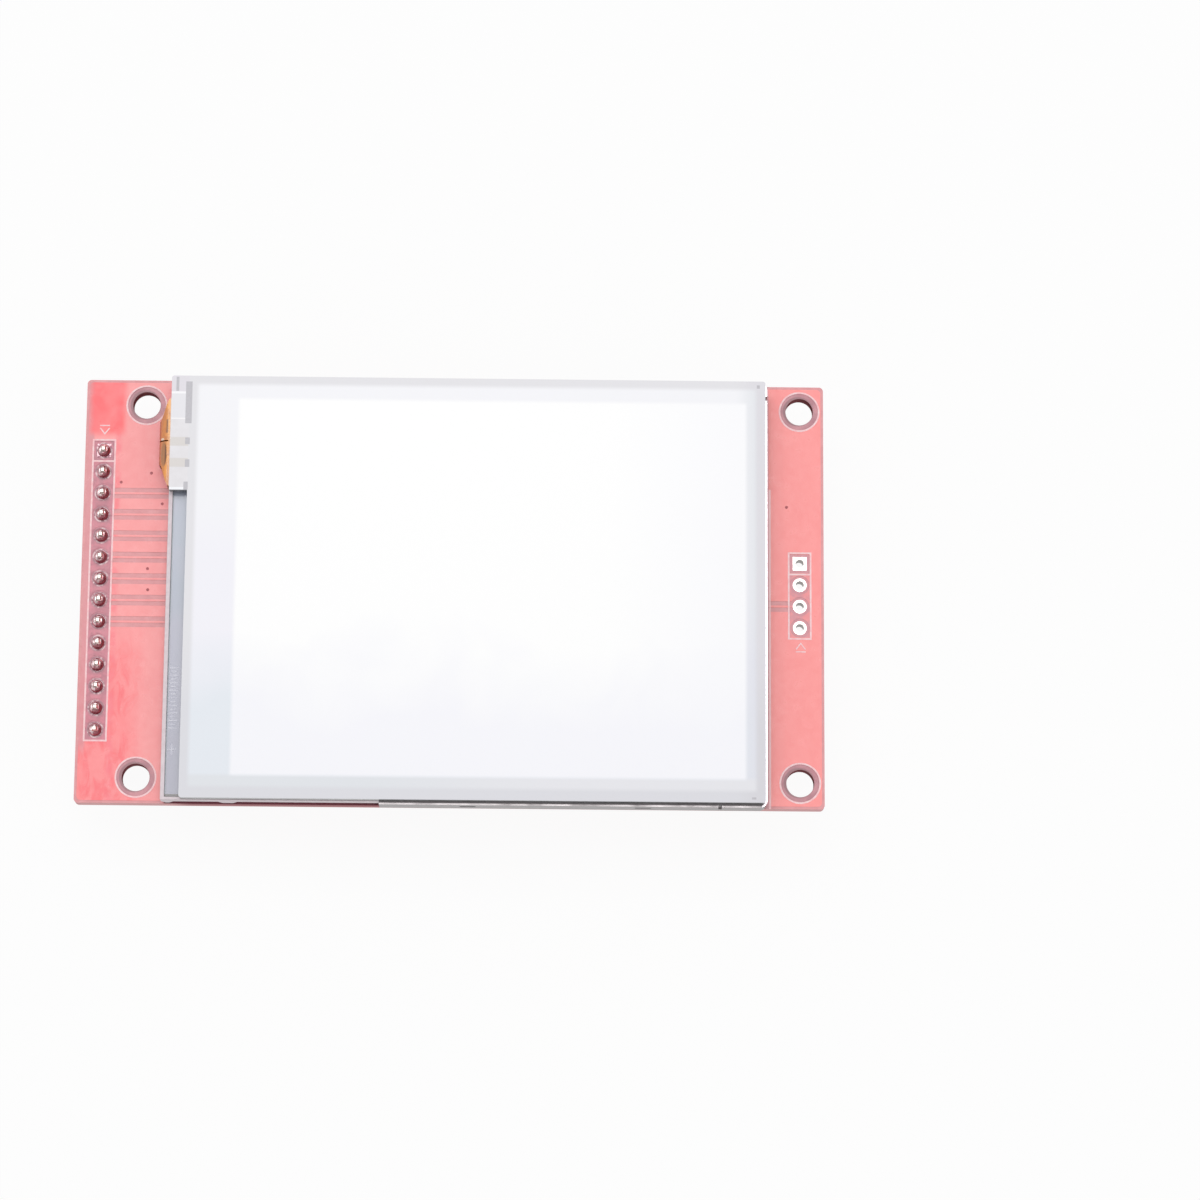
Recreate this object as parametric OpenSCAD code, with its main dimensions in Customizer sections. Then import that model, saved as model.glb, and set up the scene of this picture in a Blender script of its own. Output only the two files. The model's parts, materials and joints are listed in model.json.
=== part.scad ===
// Colour touch display module: a touch screen taped to a circuit board, with a pin header and a card socket.
// The origin is the centre of the four mounting holes, on the plane of the board's back face. +Z points
// out of the screen, +X runs along the long side away from the pin header, and all sizes are in millimetres.

/* [Board] */
// Length of the board along X
board_w = 86; // [85:0.5:96]
// Width of the board along Y
board_h = 50; // [50:0.5:56]
// Thickness of the bare board
board_t = 1.6; // [1.2:0.2:2]
// Radius of the board's corners
board_corner = 0.5; // [0.2:0.1:2]
// Distance from the header edge of the board to the nearest mounting holes
hole_inset = 7; // [6.5:0.1:7.5]
// Hole spacing along X
hole_pitch_x = 76.2; // [76:0.1:77]
// Hole spacing along Y
hole_pitch_y = 44; // [42:0.5:45]
// Diameter of the mounting holes
hole_d = 3.2; // [2.7:0.1:3.4]

/* [Pin header] */
// Number of pins in the main header
pin_count = 14; // [10:1:14]
// Spacing of the pins and of the card header's holes
pin_pitch = 2.54; // [2.54]
// Side of a square pin
pin_w = 0.64; // [0.5:0.02:0.66]
// Free length of a pin below its housing
pin_reach = 6; // [3:0.5:9]
// Height of a pin's stub above the board's front face
pin_stub = 1.2; // [0.9:0.1:1.5]
// Height of the header's moulded housing
housing_t = 2.5; // [1.5:0.1:3]
// Distance of the pin row from the board's edge
pin_inset = 2.2; // [1.8:0.1:2.4]

/* [Display] */
// Outline of the display along X
display_w = 69.2; // [69:0.1:69.4]
// Outline of the display along Y
display_h = 50; // [49.8:0.1:50]
// Offset of the display's middle along X
display_x = -0.4; // [-0.8:0.1:1]
// Offset of the display's middle along Y
display_y = -0.3; // [-1:0.1:1]
// Lit window of the screen along X
window_w = 59; // [50:0.1:60]
// Lit window of the screen along Y
window_h = 44.3; // [38:0.1:45]
// Offset of the window's middle along X
window_x = 2.5; // [1:0.1:3]
// Offset of the window's middle along Y
window_y = -0.05; // [-1:0.05:1]

/* [Card socket] */
// Outside width of the socket along X
socket_w = 28; // [27.5:0.5:30]
// Outside depth of the socket along Y
socket_d = 27.4; // [26:0.2:28]
// Height of the socket above the board's back face
socket_t = 2.9; // [2.8:0.1:3.4]
// Middle of the socket along X
socket_x = 16; // [14:0.5:18]
// Width of the card it takes
card_w = 24; // [24]
// Thickness of the card it takes
card_t = 2.1; // [2.1]

/* [Hidden] */
$fn = 48;
PIN_NAMES = [for (i = [1 : pin_count]) str("header_pin_", i < 10 ? "0" : "", i)];
PLAIN_NODES = [
    "circuit_board", "front_legend", "back_legend",
    "header_housing", "header_pads", "header_solder", "card_header_pads",
    "touch_film", "touch_spacer", "touch_glass", "touch_tail",
    "panel_adhesive", "front_polarizer", "color_filter_glass", "tft_glass", "rear_polarizer",
    "driver_chip", "shield_tape", "prism_film_upper", "prism_film_lower", "diffuser_film",
    "light_guide", "reflector_film", "led_strip", "backlight_leds", "backlight_frame",
    "metal_frame", "mounting_tape_upper", "mounting_tape_lower", "lcd_flex", "flex_solder",
    "card_socket_base", "card_socket_shell", "card_socket_contacts",
    "touch_controller", "touch_controller_leads", "regulator", "regulator_leads",
    "backlight_transistor", "transistor_leads", "resistors", "capacitors", "chip_terminals"
];

// Board edges and surfaces. The copper under the solder mask stands proud of the bare laminate.
board_left = -hole_pitch_x / 2 - hole_inset;
board_right = board_left + board_w;
relief_t = 0.04;
front_z = board_t + relief_t;
back_z = -relief_t;
copper_inset = 0.3;
hole_clear_d = 4.4;
ring_d = 4.6;
ink_w = 0.2;
ink_t = 0.03;
pad_d = 1.6;
pad_rise = 0.02;
pad_clear = 0.32;
drill_d = 1;
plating_t = 0.035;

// How deep joined solids sink into each other, and how far cuts run past the faces that they open
bite = 0.1;
over = 1;

// Header places
header_x = board_left + pin_inset;
first_pin_y = (pin_count - 1) / 2 * pin_pitch;
card_header_x = hole_pitch_x / 2;
card_hole_count = 4;
first_card_hole_y = (card_hole_count - 1) / 2 * pin_pitch;
housing_w = 2.5;
housing_notch = 0.45;
tip_taper = 0.16;
tip_length = 0.5;
joint_d = pad_d - 0.06;
joint_top_d = 0.84;
joint_h = 0.62;

// Pins with traces under the mask, as [first, last]: on the front to the display, and on the back to the
// resistors and to the card socket
display_trace_pins = [3, 9];
resistor_trace_pins = [4, 8];
socket_trace_pins = [10, pin_count];
socket_trace_end = -26;
trace_w = 0.25;
trace_gap = 0.5;
trace_root = 2;
trace_lap = 3;

// Display edges
dl = display_x - display_w / 2;
dr = display_x + display_w / 2;
db = display_y - display_h / 2;
dt = display_y + display_h / 2;

// Thickness of the display's layers
tape_t = 0.36;
sheet_t = 0.2;
guide_t = 0.6;
film_t = 0.1;
polarizer_t = 0.15;
cell_glass_t = 0.4;
touch_glass_t = 0.7;
touch_film_t = 0.2;

// Levels of the display's layers, from the board up
z_metal = front_z + tape_t;
z_reflector = z_metal + sheet_t;
z_guide = z_reflector + film_t;
z_diffuser = z_guide + guide_t;
z_prism_low = z_diffuser + film_t;
z_prism_high = z_prism_low + film_t;
z_shield = z_prism_high + film_t;
z_rear_pol = z_shield + film_t;
z_tft = z_rear_pol + polarizer_t;
z_filter = z_tft + cell_glass_t;
z_front_pol = z_filter + cell_glass_t;
z_adhesive = z_front_pol + polarizer_t;
z_touch = z_adhesive + film_t;
z_spacer = z_touch + touch_glass_t;
z_film = z_spacer + film_t;
z_top = z_film + touch_film_t;

// Backlight: sheet metal, plastic walls and the pocket that holds the glass against the left wall
wall_t = 0.45;
wall_top = z_front_pol + 0.05;
metal_top = wall_top + 0.05;
metal_start = -10.1;
tray_corner = 0.9;
pocket_lo = [dl + wall_t, db + sheet_t + wall_t];
pocket_hi = [dr - sheet_t - wall_t, dt - sheet_t - wall_t];
glass_lo = pocket_lo + [0, 0.1];
glass_hi = pocket_hi - [0.05, 0.1];
guide_lo = [dl + 3.8, db + 1.7];
guide_hi = [dr - 1.2, dt - 1.4];
film_play = 0.15;

// Lights along the guide's left edge, and the flexible strip that they hang from
led_count = 4;
led_pitch = 11;
led_size = [1.4, 3.8, 0.7];
led_strip_size = [2.6, 40, 0.1];
led_strip_play = 0.1;

// The plastic frame's lower wall left of the metal: set back, on two feet with arches beside them
open_wall_y = db + sheet_t + 0.15;
arch_y = db + 0.8;
arch_top = z_diffuser;
feet = [[dl, -33.6], [-28.5, -26.3]];
foot_slope = 0.5;

// Lugs of the plastic frame that the metal's windows catch, and slots that part the metal's walls
lug_x = [0, 20];
lug_w = 1.8;
lug_z = [3, 3.5];
lug_depth = 0.5;
lug_inset = 0.05;
lower_slot_x = [28.6, 29];
right_slot_y = [22.6, 23.1];

// Glass ledge, colour filter, polarizer edges, and the driver chip on the ledge
ledge_w = 4.5;
filter_lo = [glass_lo.x + ledge_w, glass_lo.y];
polarizer_margin = 0.4;
shield_lap = 0.2;
shield_margin = [0.6, 0.5];
driver_size = [1.1, 20, 0.35];
driver_y = -6;
driver_gap = 0.8;

// Touch panel outline, with a tab at the corner where its tail is bonded
touch_lo = [dl + 2.2, db + 0.4];
touch_hi = [dr - 0.25, dt - 0.1];
touch_corner = 0.3;
touch_rim = 1.2;
tab_left = dl + 0.1;
tab_bottom = 11;
adhesive_w = 1.2;

// Mounting tapes, along the display's upper and lower sides
tape_margin = 2.5;
tape_w = 6.5;
tape_right = dr - 4;
upper_tape_left = -12;
lower_tape_left = dl + 5;

// Flexible tails: each one leaves its glass and folds down round the left edge to the board
tail_t = 0.1;
tail_mid_y = 16.7;
tail_half = 5.2;
tail_neck = 2.5;
tail_slit = 0.15;
tail_play = 0.2;
tail_room = 0.6;
tail_fold_r = 1.1;
tail_edge = dl - 1.25;
tail_end = -27;
flex_t = 0.12;
flex_half = 4.4;
flex_neck = 2.3;
flex_bond = 1.4;
flex_edge = dl - 0.85;
flex_end = -17.5;
flex_pads = 10;
flex_pad_pitch = 0.8;
flex_pad_size = [2.4, 0.4];
flex_pad_gap = 0.2;

// Card socket
socket_left = socket_x - socket_w / 2;
socket_right = socket_x + socket_w / 2;
socket_front = board_h / 2 - 0.4;
socket_rear = socket_front - socket_d;
shell_t = 0.2;
shell_bend = 0.5;
card_play = 0.3;
cavity_w = card_w + card_play;
cavity_rear = socket_rear + 3.2;
socket_floor_t = socket_t - shell_t - card_t - card_play / 2;
base_setback = 0.6;
base_short = 0.3;
cut_corner = 3.2;
floor_window_rear = cavity_rear + 11;
floor_window_front = socket_front - 4;
floor_window_margin = 3;
shell_depth = socket_d - 0.6;
shell_foot = [1.3, 1.6, 0.25];
shell_foot_y = [socket_rear + 2.2, socket_front - 5];
mouth_notch = [11, 2];
finger_size = [2, 6];
finger_gap = 0.4;
finger_x = 8.6;
finger_y = socket_front - 9;
sight_size = [3, 1.6];
sight_x = 6;
sight_y = socket_rear + 6;
tool_hole_d = 1.4;
tool_hole_x = 10.4;
tool_hole_y = socket_rear + 3.4;
relief_size = [4.4, 0.9];
relief_y = [socket_rear + 7, socket_rear + 15];

// Contacts, their slots, and the card detection spring in its rebate in the right rail
contact_count = 9;
contact_pitch = 2.5;
contact_w = 1.1;
contact_t = 0.18;
contact_x = socket_x - (contact_count - 1) / 2 * contact_pitch;
contact_root = 0.3;
contact_rise = 0.92;
contact_dip = 0.42;
contact_knee = 5.6;
contact_tip = 8;
contact_tail = 1.2;
contact_slot = 8.5;
contact_slot_play = 0.1;
slot_setback = 0.6;
slot_top = 1;
spring_y = [socket_rear + 9, socket_rear + 17];
spring_z = [1.1, 1.8];
spring_t = 0.2;
spring_rebate = 0.9;

// Parts on the board's back, as [x, y, turn]
chip_size = [1.6, 0.8, 0.45];
cap_size = [1.6, 0.8, 0.8];
chip_end = 0.3;
resistor_places = [
    [-37, 8.89, 0], [-37, 6.35, 0], [-37, 3.81, 0], [-37, 1.27, 0], [-37, -1.27, 0],
    [-2.5, 17, 90], [-4.5, 17, 90], [-6.5, 17, 90], [-8.5, 17, 90], [-33, -19.5, 0]
];
capacitor_places = [
    [-36.5, -10.5, 90], [-30.5, -10.5, 90], [-24.5, 6, 90], [-24.5, 12, 90], [-2.5, 8, 90], [-20, -15, 0]
];
controller_at = [-30, 9, 0];
controller_size = [5, 4.4, 1];
controller_leads = 8;
controller_pitch = 0.65;
controller_bevel = 0.15;
controller_dot = [-1.4, 1.6];
dot_d = 0.6;
dot_depth = 0.06;
regulator_at = [-33.5, -10.5, 90];
transistor_at = [-28, -19.5, 0];
small_body = [2.9, 1.3, 1];
small_bevel = 0.12;
small_pitch = 0.95;
standoff = 0.1;
lead_t = 0.15;
small_lead_w = 0.4;
small_lead_reach = 0.6;
fine_lead_w = 0.25;
fine_lead_reach = 1;
chip_inset = 0.02;

// Printed frames on the back
housing_frame_margin = 0.25;
controller_frame = [7.2, 5.8];
chip_frame = [2.6, 1.5];

// A box between two opposite corners
module block(lo, hi) {
    translate(lo) cube(hi - lo);
}

// A flat layer between two corners of its outline, t thick, with its underside at z
module layer(lo, hi, z, t) {
    block([lo.x, lo.y, z], [hi.x, hi.y, z + t]);
}

// Outline of a rectangle with round corners
module round_rect(lo, hi, r) {
    translate([lo.x + r, lo.y]) square([hi.x - lo.x - 2 * r, hi.y - lo.y]);
    translate([lo.x, lo.y + r]) square([hi.x - lo.x, hi.y - lo.y - 2 * r]);
    for (x = [lo.x + r, hi.x - r], y = [lo.y + r, hi.y - r])
        translate([x, y]) circle(r);
}

// Outline of a rectangular ring, w wide, just inside the rectangle
module ring_outline(lo, hi, w) {
    difference() {
        translate(lo) square(hi - lo);
        translate(lo + [w, w]) square(hi - lo - 2 * [w, w]);
    }
}

// Puts its children at each mounting hole
module at_mounting_holes() {
    for (x = [-1, 1], y = [-1, 1])
        translate([x * hole_pitch_x / 2, y * hole_pitch_y / 2]) children();
}

// Puts its children at each pin of the main header
module at_header_pins(first = 1, last = pin_count) {
    for (i = [first : last])
        translate([header_x, pin_y(i)]) children();
}

// Puts its children at each hole of the card header
module at_card_holes() {
    for (i = [0 : card_hole_count - 1])
        translate([card_header_x, first_card_hole_y - i * pin_pitch]) children();
}

function pin_y(i) = first_pin_y - (i - 1) * pin_pitch;

// Puts its children at a place on the board's back, given as [x, y, turn], with +Z pointing away from it
module on_back(place) {
    translate([place.x, place.y, back_z]) rotate([180, 0, place.z]) children();
}

// ---- Circuit board ----

// The two lines of bare laminate beside a trace that runs along X
module trace_sides(from, to, y) {
    for (side = [-1, 1])
        translate([from, y + side * (trace_w + trace_gap) / 2 - trace_gap / 2])
            square([to - from, trace_gap]);
}

module copper_outline() {
    round_rect([board_left, -board_h / 2] + copper_inset * [1, 1],
               [board_right, board_h / 2] - copper_inset * [1, 1], board_corner);
}

// Clearance round a pad, square for the first pad of a row
module pad_clearance(square_pad) {
    d = pad_d + 2 * pad_clear;
    if (square_pad) translate([-d / 2, -d / 2]) square(d);
    else circle(d = d);
}

module clearances() {
    at_mounting_holes() circle(d = hole_clear_d);
    for (i = [1 : pin_count]) translate([header_x, pin_y(i)]) pad_clearance(i == 1);
    for (i = [0 : card_hole_count - 1])
        translate([card_header_x, first_card_hole_y - i * pin_pitch]) pad_clearance(i == 0);
}

// The bare lines beside the traces of a row of pins, out to x = to
module trace_gaps(pins, to) {
    for (i = [pins[0] : pins[1]]) trace_sides(header_x, to, pin_y(i));
}

// The first stretch of those traces, which crosses the clearance round each pad
module trace_roots(pins) {
    for (i = [pins[0] : pins[1]])
        translate([header_x + pad_d / 2, pin_y(i) - trace_w / 2]) square([trace_root, trace_w]);
}

module front_copper() {
    card_trace_y = first_card_hole_y - 2 * pin_pitch;
    difference() {
        copper_outline();
        clearances();
        trace_gaps(display_trace_pins, dl + trace_lap);
        trace_sides(dr - trace_lap, card_header_x, card_trace_y);
    }
    trace_roots(display_trace_pins);
    translate([card_header_x - trace_root, card_trace_y - trace_w / 2])
        square([trace_root - pad_d / 2, trace_w]);
}

module back_copper() {
    difference() {
        copper_outline();
        clearances();
        trace_gaps(resistor_trace_pins, resistor_places[0].x - chip_frame.x / 2 - ink_w);
        trace_gaps(socket_trace_pins, socket_trace_end);
    }
    trace_roots(resistor_trace_pins);
    trace_roots(socket_trace_pins);
}

module circuit_board() {
    color("lightcoral") difference() {
        union() {
            linear_extrude(board_t)
                round_rect([board_left, -board_h / 2], [board_right, board_h / 2], board_corner);
            translate([0, 0, board_t - bite]) linear_extrude(bite + relief_t) front_copper();
            translate([0, 0, back_z]) linear_extrude(bite + relief_t) back_copper();
        }
        translate([0, 0, -over]) {
            at_mounting_holes() cylinder(d = hole_d, h = board_t + 2 * over);
            at_header_pins() cylinder(d = drill_d + 2 * plating_t, h = board_t + 2 * over);
            at_card_holes() cylinder(d = drill_d + 2 * plating_t, h = board_t + 2 * over);
        }
    }
}

// A printed frame round a row of count pads whose first pad is at the top, with a line under that pad
module row_frame(count, margin = 0) {
    half_w = pin_pitch / 2 + margin;
    half_h = count * pin_pitch / 2 + margin;
    ring_outline([-half_w, -half_h] - ink_w / 2 * [1, 1], [half_w, half_h] + ink_w / 2 * [1, 1], ink_w);
    if (margin == 0)
        translate([-half_w, half_h - pin_pitch - ink_w / 2]) square([2 * half_w, ink_w]);
}

module hole_rings() {
    at_mounting_holes() difference() {
        circle(d = ring_d + ink_w);
        circle(d = ring_d - ink_w);
    }
}

module front_legend() {
    color("mistyrose") translate([0, 0, front_z]) linear_extrude(ink_t) {
        hole_rings();
        translate([header_x, 0]) row_frame(pin_count);
        translate([card_header_x, 0]) row_frame(card_hole_count);
    }
}

// A printed frame of a size, on the back round a part's place
module part_frame(place, size) {
    translate([place.x, place.y]) rotate(-place.z)
        ring_outline(-size / 2, size / 2, ink_w);
}

module back_legend() {
    color("mistyrose") translate([0, 0, back_z - ink_t]) linear_extrude(ink_t) {
        hole_rings();
        translate([header_x, 0]) row_frame(pin_count, housing_frame_margin);
        translate([card_header_x, 0]) row_frame(card_hole_count);
        part_frame(controller_at, controller_frame);
        for (place = concat(resistor_places, capacitor_places)) part_frame(place, chip_frame);
    }
}

// A plated hole with a pad on each face, round or square
module plated_hole(square_pad) {
    difference() {
        union() {
            translate([0, 0, -relief_t - pad_rise])
                cylinder(d = drill_d + 2 * plating_t, h = board_t + 2 * (relief_t + pad_rise));
            for (z = [-relief_t - pad_rise, board_t])
                translate([0, 0, z]) linear_extrude(relief_t + pad_rise)
                    if (square_pad) translate([-pad_d / 2, -pad_d / 2]) square(pad_d);
                    else circle(d = pad_d);
        }
        translate([0, 0, -over]) cylinder(d = drill_d, h = board_t + 2 * over);
    }
}

module header_pads() {
    color("gold") for (i = [1 : pin_count])
        translate([header_x, pin_y(i)]) plated_hole(i == 1);
}

module card_header_pads() {
    color("gainsboro") for (i = [0 : card_hole_count - 1])
        translate([card_header_x, first_card_hole_y - i * pin_pitch]) plated_hole(i == 0);
}

// ---- Pin header ----

pin_low = back_z - pad_rise - housing_t - pin_reach;
pin_high = front_z + pin_stub;

// Side view of a pin with tapered ends, centred on the vertical axis
module pin_side() {
    r = pin_w / 2;
    polygon([
        [-r + tip_taper, pin_low], [r - tip_taper, pin_low], [r, pin_low + tip_length],
        [r, pin_high - tip_length / 2], [r - tip_taper, pin_high],
        [-r + tip_taper, pin_high], [-r, pin_high - tip_length / 2], [-r, pin_low + tip_length]
    ]);
}

module header_pin(i) {
    color("silver") translate([header_x, pin_y(i), 0]) intersection() {
        rotate([90, 0, 0]) linear_extrude(pin_w, center = true) pin_side();
        rotate([90, 0, 90]) linear_extrude(pin_w, center = true) pin_side();
    }
}

// One cell of the moulded strip, with its corners cut back
module housing_cell() {
    x = housing_w / 2;
    y = pin_pitch / 2;
    polygon([
        [-x, -y + housing_notch], [-x + housing_notch, -y], [x - housing_notch, -y], [x, -y + housing_notch],
        [x, y - housing_notch], [x - housing_notch, y], [-x + housing_notch, y], [-x, y - housing_notch]
    ]);
}

module header_housing() {
    z = back_z - pad_rise - housing_t;
    color("dimgray") translate([0, 0, z]) linear_extrude(housing_t) difference() {
        at_header_pins() housing_cell();
        at_header_pins() square(pin_w, center = true);
    }
}

// Half section of a joint above its pad: a full, rounded side that ends in a flat round the pin
module joint_section() {
    base = joint_d / 2;
    top = joint_top_d / 2;
    // Height of the centre of the arc that runs through the edge of the base and the edge of the top
    mid = (top * top + joint_h * joint_h - base * base) / (2 * joint_h);
    intersection() {
        translate([0, mid]) circle(sqrt(base * base + mid * mid));
        square([base, joint_h]);
    }
}

// Each joint fills its plated hole and stands round the pin's stub
module header_solder() {
    pad_low = back_z - pad_rise;
    pad_top = front_z + pad_rise;
    color("lightgray") at_header_pins() difference() {
        union() {
            translate([0, 0, pad_low]) cylinder(d = drill_d, h = pad_top - pad_low + bite);
            translate([0, 0, pad_top]) rotate_extrude() joint_section();
        }
        translate([-pin_w / 2, -pin_w / 2, pad_low - over])
            cube([pin_w, pin_w, pin_high - pad_low + 2 * over]);
    }
}

// ---- Touch panel ----

// Outline of the touch panel: a rectangle with a tab at its upper left corner
module touch_outline() {
    round_rect(touch_lo, touch_hi, touch_corner);
    round_rect([tab_left, tab_bottom + touch_corner], touch_hi, touch_corner);
    translate([tab_left, tab_bottom])
        square([touch_lo.x - tab_left + touch_corner, touch_hi.y - tab_bottom - touch_corner]);
}

module touch_film() {
    color("whitesmoke", 0.5) translate([0, 0, z_film]) linear_extrude(z_top - z_film) touch_outline();
}

// The film and the glass are held apart by a rim, which leaves room for the tail's bonded end
module touch_spacer() {
    color("lightgray") translate([0, 0, z_spacer]) linear_extrude(z_film - z_spacer) difference() {
        touch_outline();
        translate(touch_lo + touch_rim * [1, 1]) square(touch_hi - touch_lo - 2 * touch_rim * [1, 1]);
        translate([tab_left - over, tail_mid_y - tail_half])
            square([touch_lo.x - tab_left + over, 2 * tail_half]);
    }
}

module touch_glass() {
    color("aliceblue", 0.4) translate([0, 0, z_touch]) linear_extrude(z_spacer - z_touch) touch_outline();
}

// Side view, in XZ, of a strip t thick that starts at x = from at height high, runs left, folds down
// with its outer face at x = edge and runs right to x = to at height low (both heights are its underside)
module folded_strip(from, to, edge, low, high, r, t) {
    outer = high + t;
    difference() {
        union() {
            translate([edge + r, low]) square([from - edge - r, outer - low]);
            translate([edge, low + r]) square([r + bite, outer - low - 2 * r]);
            for (z = [low + r, outer - r]) translate([edge + r, z]) circle(r);
            translate([edge + r, low]) square([to - edge - r, t]);
        }
        translate([edge + r, low + t]) square([from - edge, high - low - t]);
        translate([edge + t, low + r]) square([r, outer - low - 2 * r]);
        for (z = [low + r, outer - r]) translate([edge + r, z]) circle(r - t);
    }
}

// Half width of a tail at x: wide at the glass, with smooth shoulders down to the neck at its fold
function shoulder(x, edge, wide, neck) =
    let (s = min(1, max(0, (x - edge) / (dl - edge))))
    neck + (wide - neck) * (1 - cos(180 * s)) / 2;

module tail_plan(edge, wide, neck, right) {
    steps = 12;
    xs = [for (i = [0 : steps]) edge + (dl - edge) * i / steps];
    polygon(concat(
        [[edge - over, -neck]],
        [for (x = xs) [x, -shoulder(x, edge, wide, neck)]],
        [[right, -wide], [right, wide]],
        [for (i = [steps : -1 : 0]) [xs[i], shoulder(xs[i], edge, wide, neck)]],
        [[edge - over, neck]]
    ));
}

// The touch panel's tail: two ribbons side by side, parted by a slit where they fold
module touch_tail() {
    slit_y = tail_mid_y + tail_slit / 2;
    color("darkorange") difference() {
        intersection() {
            translate([0, tail_mid_y + tail_half, 0]) rotate([90, 0, 0]) linear_extrude(2 * tail_half)
                folded_strip(touch_lo.x, tail_end, tail_edge, front_z, z_spacer, tail_fold_r, tail_t);
            translate([0, tail_mid_y, 0]) linear_extrude(z_top)
                tail_plan(tail_edge, tail_half, tail_neck, tail_end + over);
        }
        block([tail_edge - over, slit_y, front_z + tail_fold_r], [dl - tail_slit, slit_y + tail_slit, z_top]);
    }
}

// ---- Liquid crystal cell ----

module panel_adhesive() {
    color("white") translate([0, 0, z_adhesive]) linear_extrude(film_t)
        ring_outline(filter_lo + polarizer_margin * [1, 1], glass_hi - polarizer_margin * [1, 1], adhesive_w);
}

module front_polarizer() {
    color("gainsboro") layer(filter_lo + polarizer_margin * [1, 1],
        glass_hi - polarizer_margin * [1, 1], z_front_pol, polarizer_t);
}

module color_filter_glass() {
    color("lightblue", 0.6) layer(filter_lo, glass_hi, z_filter, cell_glass_t);
}

module tft_glass() {
    color("lightsteelblue", 0.7) layer(glass_lo, glass_hi, z_tft, cell_glass_t);
}

module rear_polarizer() {
    color("gainsboro") layer(filter_lo + [-shield_lap, polarizer_margin],
        glass_hi - polarizer_margin * [1, 1], z_rear_pol, polarizer_t);
}

module driver_chip() {
    color("darkslategray")
        translate([filter_lo.x - driver_gap - driver_size.x, driver_y - driver_size.y / 2, z_filter])
            cube(driver_size);
}

// The screen's tail: it carries the signals from the glass ledge to solder pads under the display
module lcd_flex() {
    color("goldenrod") intersection() {
        translate([0, tail_mid_y + flex_half, 0]) rotate([90, 0, 0]) linear_extrude(2 * flex_half)
            folded_strip(glass_lo.x + flex_bond, flex_end, flex_edge, front_z + tail_t, z_filter,
                (z_filter - front_z) / 2, flex_t);
        translate([0, tail_mid_y, 0]) linear_extrude(z_top)
            tail_plan(flex_edge, flex_half, flex_neck, flex_end + over);
    }
}

// Solder stripes that join the screen's tail to the board
module flex_solder() {
    first = tail_mid_y - (flex_pads - 1) / 2 * flex_pad_pitch;
    color("silver") for (i = [0 : flex_pads - 1])
        translate([flex_end - flex_pad_gap - flex_pad_size.x,
                   first + i * flex_pad_pitch - flex_pad_size.y / 2, front_z])
            cube([flex_pad_size.x, flex_pad_size.y, tail_t]);
}

// ---- Backlight ----

module shield_tape() {
    middle = [window_x, window_y];
    half = [window_w, window_h] / 2 + shield_margin;
    color("dimgray") difference() {
        layer(filter_lo + [-shield_lap, polarizer_margin], glass_hi - polarizer_margin * [1, 1],
            z_shield, film_t);
        layer(middle - half, middle + half, z_shield - over, film_t + 2 * over);
    }
}

module backlight_film(z) {
    layer(guide_lo + film_play * [1, 1], guide_hi - film_play * [1, 1], z, film_t);
}

module prism_film_upper() {
    color("lavender") backlight_film(z_prism_high);
}

module prism_film_lower() {
    color("lavender") backlight_film(z_prism_low);
}

module diffuser_film() {
    color("white") backlight_film(z_diffuser);
}

module light_guide() {
    color("honeydew", 0.6) layer(guide_lo, guide_hi, z_guide, guide_t);
}

module reflector_film() {
    color("white") layer(guide_lo, guide_hi, z_reflector, film_t);
}

// Puts its children at the middle of each light's face against the guide
module at_leds() {
    for (i = [0 : led_count - 1])
        translate([guide_lo.x, display_y + (i - (led_count - 1) / 2) * led_pitch, z_reflector]) children();
}

module backlight_leds() {
    color("ivory") at_leds() translate([-led_size.x, -led_size.y / 2, 0]) cube(led_size);
}

module led_strip() {
    color("orange") translate([guide_lo.x - led_strip_size.x, display_y - led_strip_size.y / 2,
                               z_reflector + led_size.z])
        cube(led_strip_size);
}

// Outline of the plastic frame inside the metal. Left of the metal its lower wall is set back.
module frame_outline() {
    lo = [dl, db + sheet_t];
    hi = [dr, dt] - sheet_t * [1, 1];
    difference() {
        union() {
            translate(lo) square([ledge_w, hi.y - lo.y]);
            round_rect(lo, hi, tray_corner - sheet_t);
        }
        translate([dl - over, db]) square([metal_start - dl + over, open_wall_y - db]);
    }
}

// Side view of a foot, in XZ, narrower below
module foot_side(from, to) {
    polygon([
        [from + foot_slope, z_metal], [to - foot_slope, z_metal],
        [to, arch_top], [to, arch_top + bite], [from, arch_top + bite], [from, arch_top]
    ]);
}

// The lugs on both long sides, or the windows that they catch in, with their outer faces set in by inset
module lugs(inset) {
    for (x = lug_x) {
        block([x - lug_w / 2, db + inset, lug_z[0]], [x + lug_w / 2, db + lug_depth, lug_z[1]]);
        block([x - lug_w / 2, dt - lug_depth, lug_z[0]], [x + lug_w / 2, dt - inset, lug_z[1]]);
    }
}

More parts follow.
